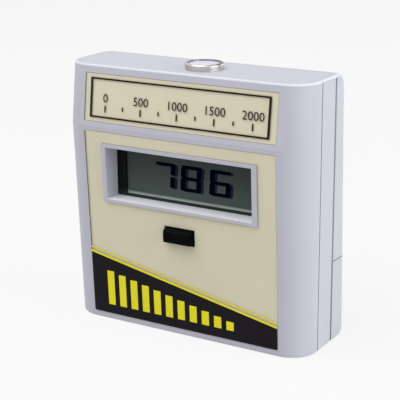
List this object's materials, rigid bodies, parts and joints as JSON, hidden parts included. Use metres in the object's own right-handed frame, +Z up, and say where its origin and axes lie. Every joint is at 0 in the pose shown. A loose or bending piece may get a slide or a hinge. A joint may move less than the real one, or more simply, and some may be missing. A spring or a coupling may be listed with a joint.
{
  "type": "solar power meter",
  "caption": "Handheld digital solar power meter: two-shell moulded case with a sloped front, recessed LCD window, one push button, light sensor on top and a sliding battery door",
  "frame": {"origin": "centre of the bounding box, on the plane that the foot of the case stands on", "axes": "+X to the right as seen from the front, +Y from the front to the back, +Z up"},
  "size_m": [0.108, 0.0416, 0.1093],
  "materials": {
    "front_plastic": "fine moulded texture, light cool grey",
    "rear_plastic": "fine moulded texture, light cool grey",
    "label_film": "printed cream film, low sheen",
    "frame_black": "black moulded plastic",
    "display_glass": "clear glass over a grey film",
    "display_film": "grey polariser film",
    "reflector_foil": "dull silver foil",
    "contact_rubber": "layered conductive rubber",
    "board_green": "solder mask",
    "chip_black": "moulded epoxy",
    "tinned_metal": "tinned",
    "resistor_lacquer": "beige lacquer",
    "capacitor_resin": "dipped resin",
    "can_sleeve": "shrink sleeve",
    "zinc_steel": "zinc plated",
    "white_plastic": "natural nylon",
    "spring_steel": "spring wire",
    "button_black": "satin black",
    "nickel": "turned, nickel plated",
    "diffuser_white": "white translucent plastic",
    "diode_can": "gold flashed metal can",
    "gold_wire": "gilt wire",
    "battery_case": "lacquered steel jacket, two plain colours",
    "snap_vinyl": "soft vinyl",
    "lead_sleeve": "insulated wire, one black and one red",
    "foam": "closed foam"
  },
  "bodies": {
    "root": {"front_shell": "front_plastic", "rear_shell": "rear_plastic", "upper_label": "label_film", "lower_label": "label_film", "display_frame": "frame_black", "lcd_glass": "display_glass", "lcd_polariser": "display_film", "lcd_reflector": "reflector_foil", "contact_strips": "contact_rubber", "circuit_board": "board_green", "meter_chip": "chip_black", "meter_chip_legs": "tinned_metal", "amplifier_chip": "chip_black", "resistors": "resistor_lacquer", "film_capacitors": "capacitor_resin", "electrolytic_capacitors": "can_sleeve", "board_screws": "zinc_steel", "switch_body": "frame_black", "switch_leads": "tinned_metal", "switch_spring": "spring_steel", "sensor_ring": "nickel", "sensor_diffuser": "diffuser_white", "sensor_nut": "nickel", "photodiode": "diode_can", "sensor_leads": "gold_wire", "battery": "battery_case", "battery_terminals": "tinned_metal", "battery_snap": "snap_vinyl", "snap_contacts": "tinned_metal", "battery_leads": "lead_sleeve", "case_screws": "zinc_steel"},
    "button": {"push_button": "button_black", "switch_plunger": "white_plastic"},
    "door": {"battery_door": "rear_plastic", "battery_pad": "foam"}
  },
  "joints": [
    {"name": "button_press", "type": "slide", "parent": "root", "child": "button", "axis": [0, 1, 0], "range_m": [0, 0.001], "stiffness_N_per_m": 400, "springref_m": -0.001, "deforming": ["switch_spring"]},
    {"name": "door_slide", "type": "slide", "parent": "root", "child": "door", "axis": [0, 0, -1], "range_m": [0, 0.034]}
  ]
}
